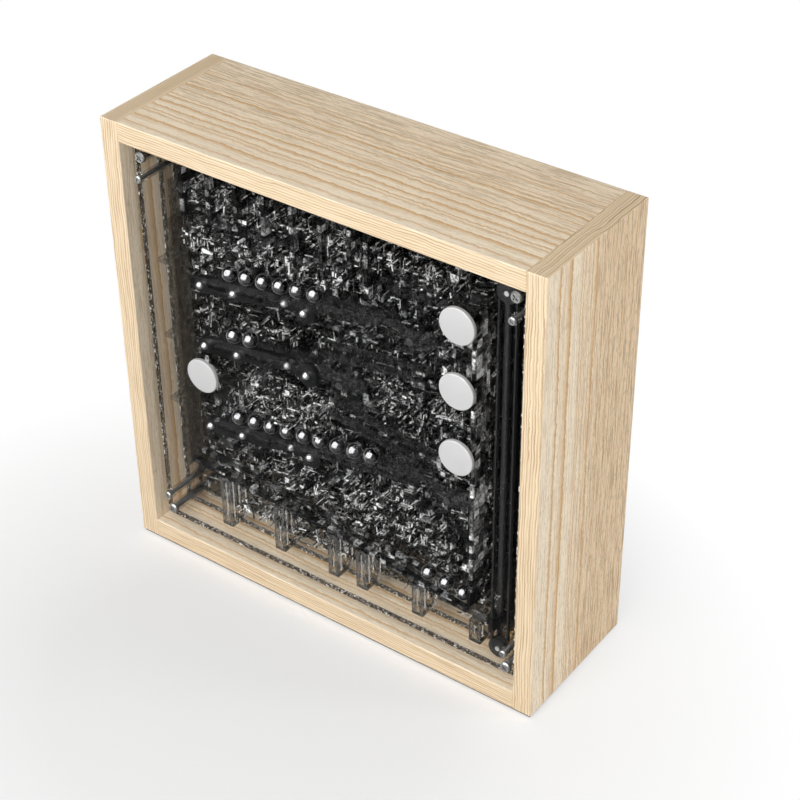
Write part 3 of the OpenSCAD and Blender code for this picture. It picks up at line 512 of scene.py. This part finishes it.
class Strokes:
    # many small tapered bars in one mesh
    signs = [(a, b, c) for a in (-0.5, 0.5) for b in (-0.5, 0.5) for c in (-0.5, 0.5)]
    sides = ((0, 1, 3, 2), (4, 6, 7, 5), (0, 4, 5, 1), (2, 3, 7, 6), (0, 2, 6, 4), (1, 5, 7, 3))

    def __init__(self):
        self.mesh = bmesh.new()

    def add(self, centre, size, roll=0.0, lean=0.0, taper=1.0):
        turn = Matrix.Rotation(roll, 3, "Y") @ Matrix.Rotation(lean, 3, "X")
        axis = size.index(max(size))
        points = []
        for sign in self.signs:
            v = [sign[i] * size[i] for i in range(3)]
            if sign[axis] > 0:
                v = [v[i] if i == axis else v[i] * taper for i in range(3)]
            points.append(self.mesh.verts.new(Vector(centre) + turn @ Vector(v)))
        for side in self.sides:
            self.mesh.faces.new([points[i] for i in side])


def clearStrokes(name, low, high, count, seed, zones):
    # strokes through the gap, upright and along the rows, with a few flat facets
    dice = random.Random(seed)
    strokes = Strokes()
    areas = [(z[1] - z[0]) * (z[3] - z[2]) for z in zones]
    slope = works["slope"]
    for _ in range(count):
        x0, x1, z0, z1, rise = dice.choices(zones, areas)[0]
        thin, flat = dice.uniform(0.0003, 0.0007), dice.uniform(0.0004, 0.0011)
        kind = dice.random()
        roll = dice.choice((0, 0, -slope, -slope, slope))
        if kind < works["through"]:
            size = [flat, (high - low) * dice.uniform(0.35, 0.97), thin]
            roll = dice.choice((-slope, 0, 0.8, 1.57))
        elif kind < works["upright"]:
            size = [thin, flat, dice.uniform(0.004, 0.017)]
        elif kind < works["level"]:
            size = [dice.uniform(0.004, 0.017), flat, thin]
            roll = -slope
        else:
            size = [dice.uniform(0.003, 0.008), thin, dice.uniform(0.002, 0.006)]
        size[0] = min(size[0], 0.9 * (x1 - x0))
        size[2] = min(size[2], 0.9 * (z1 - z0))
        x = dice.uniform(x0 + size[0] / 2, x1 - size[0] / 2)
        z = dice.uniform(z0 + size[2] / 2, z1 - size[2] / 2) + rise * (x - x0)
        y = dice.uniform(low + size[1] / 2, high - size[1] / 2)
        strokes.add((x, y, z), size, roll, dice.uniform(-0.07, 0.07), dice.uniform(0.55, 1.0))
    return meshPiece(name, strokes.mesh, shardClear)


def darkRibs(name, front, seed, count):
    # ribs close behind the track plate: of each four, two stand near the top and one lower down, each
    # with a painted highlight, a thin strip of painted glints along its edge, and one lies along the rows
    dice = random.Random(seed)
    dark, bright = Strokes(), Strokes()
    y, deep = front + 0.0007, 0.0010
    for i in range(count):
        x = dice.uniform(-0.120, 0.096)
        wide = dice.uniform(0.0018, 0.0042)
        if i % 4:
            z = dice.uniform(0.228, 0.255) if i % 4 < 3 else dice.uniform(0.06, 0.20)
            tall = dice.uniform(0.022, 0.050)
            dark.add((x, y, z), (wide, deep, tall))
            # painted highlight: a strip of painted glints beside the rib, for the light its edge would catch
            bright.add((x - wide / 2 - 0.0003, y, z), (0.0005, deep, tall), taper=0.8)
        else:
            z = dice.uniform(0.05, 0.25)
            long = dice.uniform(0.018, 0.045)
            dark.add((min(x, 0.070), y, z), (long, deep, wide), -works["slope"])
    meshPiece(name + "Dark", dark.mesh, shardDark)
    meshPiece(name + "Bright", bright.mesh, shardClear)


def plateEdges():
    # strips along each plate's edges, painted with glints by edgeMaterial
    strokes = Strokes()
    wide = works["edgeWide"]
    for name in ("front_plate", "track_plate", "bearing_plate"):
        low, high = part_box(name)
        y, z = (low[1] + high[1]) / 2, (low[2] + high[2]) / 2
        deep = high[1] - low[1]
        for x in (low[0] - wide / 2, high[0] + wide / 2):
            strokes.add((x, y, z), (wide, deep, high[2] - low[2]))
        for z in (low[2] - wide / 2, high[2] + wide / 2):
            strokes.add((0, y, z), (high[0] - low[0], deep, wide))
    meshPiece("plateEdges", strokes.mesh, edgeMaterial())


def uprightPosts(name, low, high, places, material):
    posts = Strokes()
    size = (works["postWide"], high - low - 0.0002, works["postTall"])
    for x in places:
        posts.add((x, (low + high) / 2, works["postMiddle"]), size)
    meshPiece(name, posts.mesh, material)


def addWheel(mesh, centre, radius, deep, teeth, bore):
    # a clear toothed wheel with its bore, built as one ring of quads
    steps = teeth * 4
    rows = []
    for y in (-deep / 2, deep / 2):
        for kind in ("outer", "inner"):
            row = []
            for i in range(steps):
                a = 2 * math.pi * i / steps
                r = bore if kind == "inner" else radius * (1.0 if i % 4 in (0, 1) else 0.9)
                row.append(mesh.verts.new((centre[0] + r * math.cos(a), centre[1] + y,
                                           centre[2] + r * math.sin(a))))
            rows.append(row)
    frontOut, frontIn, backOut, backIn = rows
    for i in range(steps):
        j = (i + 1) % steps
        mesh.faces.new((frontOut[i], frontOut[j], frontIn[j], frontIn[i]))
        mesh.faces.new((backOut[j], backOut[i], backIn[i], backIn[j]))
        mesh.faces.new((frontOut[j], frontOut[i], backOut[i], backOut[j]))
        mesh.faces.new((frontIn[i], frontIn[j], backIn[j], backIn[i]))


def clearWheels(seed):
    dice = random.Random(seed)
    mesh = bmesh.new()
    for _ in range(works["wheels"]):
        x = dice.uniform(-0.10, 0.09)
        y = dice.choice((-0.0185, -0.0135, -0.005, 0.002))
        z = dice.uniform(0.06, 0.25)
        radius = dice.uniform(0.008, 0.019)
        teeth = dice.choice((18, 24, 30))
        addWheel(mesh, (x, y, z), radius, works["wheelDeep"], teeth, works["wheelBore"])
    meshPiece("clearWheels", mesh, shardDark)


darkRibs("ribs", works["ribFront"], works["seed"] + 9, works["ribs"])
clearStrokes("channelStrokes", *works["channel"], works["seed"] + 3, channelZones)
clearStrokes("bearingStrokes", *works["bearing"], works["seed"] + 4, wholePlate)
clearStrokes("backStrokes", *works["back"], works["seed"] + 5, wholePlate)
plateEdges()
uprightPosts("leftPosts", -0.0204, -0.0119, (-0.1285, -0.1225), guideClear)
uprightPosts("backPosts", -0.0084, 0.0086, (-0.1250, -0.1195), shardDark)
clearWheels(works["seed"] + 2)
print("clear works done")

# floor, world and lamps
stageValues = {
    "floorSize": 12.0,
    "floorDrop": 0.0002,
    "floorColour": 0.82,
    "floorGlow": (0.30, 1.0),   # share of plain white near and far, for the camera and reflections only
    "floorReach": (0.12, 0.32),
    "world": 0.45,
    "aim": (0, 0, 0.15),
}
# each lamp: place, size and power
lamps = {
    "keyLight": ((0.21, -1.41, 1.07), (1.2, 1.2), 23.0),
    "sideLight": ((1.5, 0.65, 0.4), (0.35, 1.0), 8.0),
    "softbox": ((-0.38, -1.50, 1.30), (3.3, 3.5), 520.0),
}
white = (1, 1, 1, 1)


def makeFloor():
    mesh = bpy.data.meshes.new("floor")
    s = stageValues["floorSize"]
    mesh.from_pydata([(-s, -s, 0), (s, -s, 0), (s, s, 0), (-s, s, 0)], [], [(0, 1, 2, 3)])
    floor = bpy.data.objects.new("floor", mesh)
    floor.location.z = -stageValues["floorDrop"]
    scene.collection.objects.link(floor)
    m = Mat("floorWhite")
    c = stageValues["floorColour"]
    base = m.principled(Base_Color=(c, c, c, 1), Roughness=0.9, IOR=1.02)
    glow = m.node("ShaderNodeEmission", values={"Color": white, "Strength": 1.0})
    seen = (m.ray("Camera") + m.ray("Glossy") + m.ray("Transmission")).clamp()
    x, y, z = m.xyz(m.place())
    ahead = y + 0.12
    far = (x * x + ahead * ahead) ** 0.5
    low, high = stageValues["floorGlow"]
    share = far.step(*stageValues["floorReach"]) * (high - low) + low
    mesh.materials.append(m.surface(m.blend(seen * share, base, glow)))


def makeWorld():
    # white to the camera, and a plain grey strength to everything else
    m = Mat("studio", bpy.data.worlds, "ShaderNodeOutputWorld")
    plain = m.node("ShaderNodeBackground", values={"Color": white, "Strength": stageValues["world"]})
    seen = m.node("ShaderNodeBackground", values={"Color": white, "Strength": 1.0})
    scene.world = m.surface(m.blend(m.ray("Camera"), plain, seen))


def areaLight(name):
    place, size, power = lamps[name]
    data = bpy.data.lights.new(name, "AREA")
    data.shape = "RECTANGLE"
    data.size, data.size_y = size
    data.energy = power
    light = bpy.data.objects.new(name, data)
    light.location = place
    light.rotation_mode = "QUATERNION"
    light.rotation_quaternion = (Vector(stageValues["aim"]) - Vector(place)).to_track_quat("-Z", "Y")
    scene.collection.objects.link(light)
    return light


makeFloor()
makeWorld()
areaLight("keyLight").visible_glossy = False    # it would stand before the softbox in the balls
areaLight("sideLight")
softbox = areaLight("softbox")                  # shows in reflections only
softbox.visible_diffuse = False
softbox.visible_transmission = False
print("floor and light done")
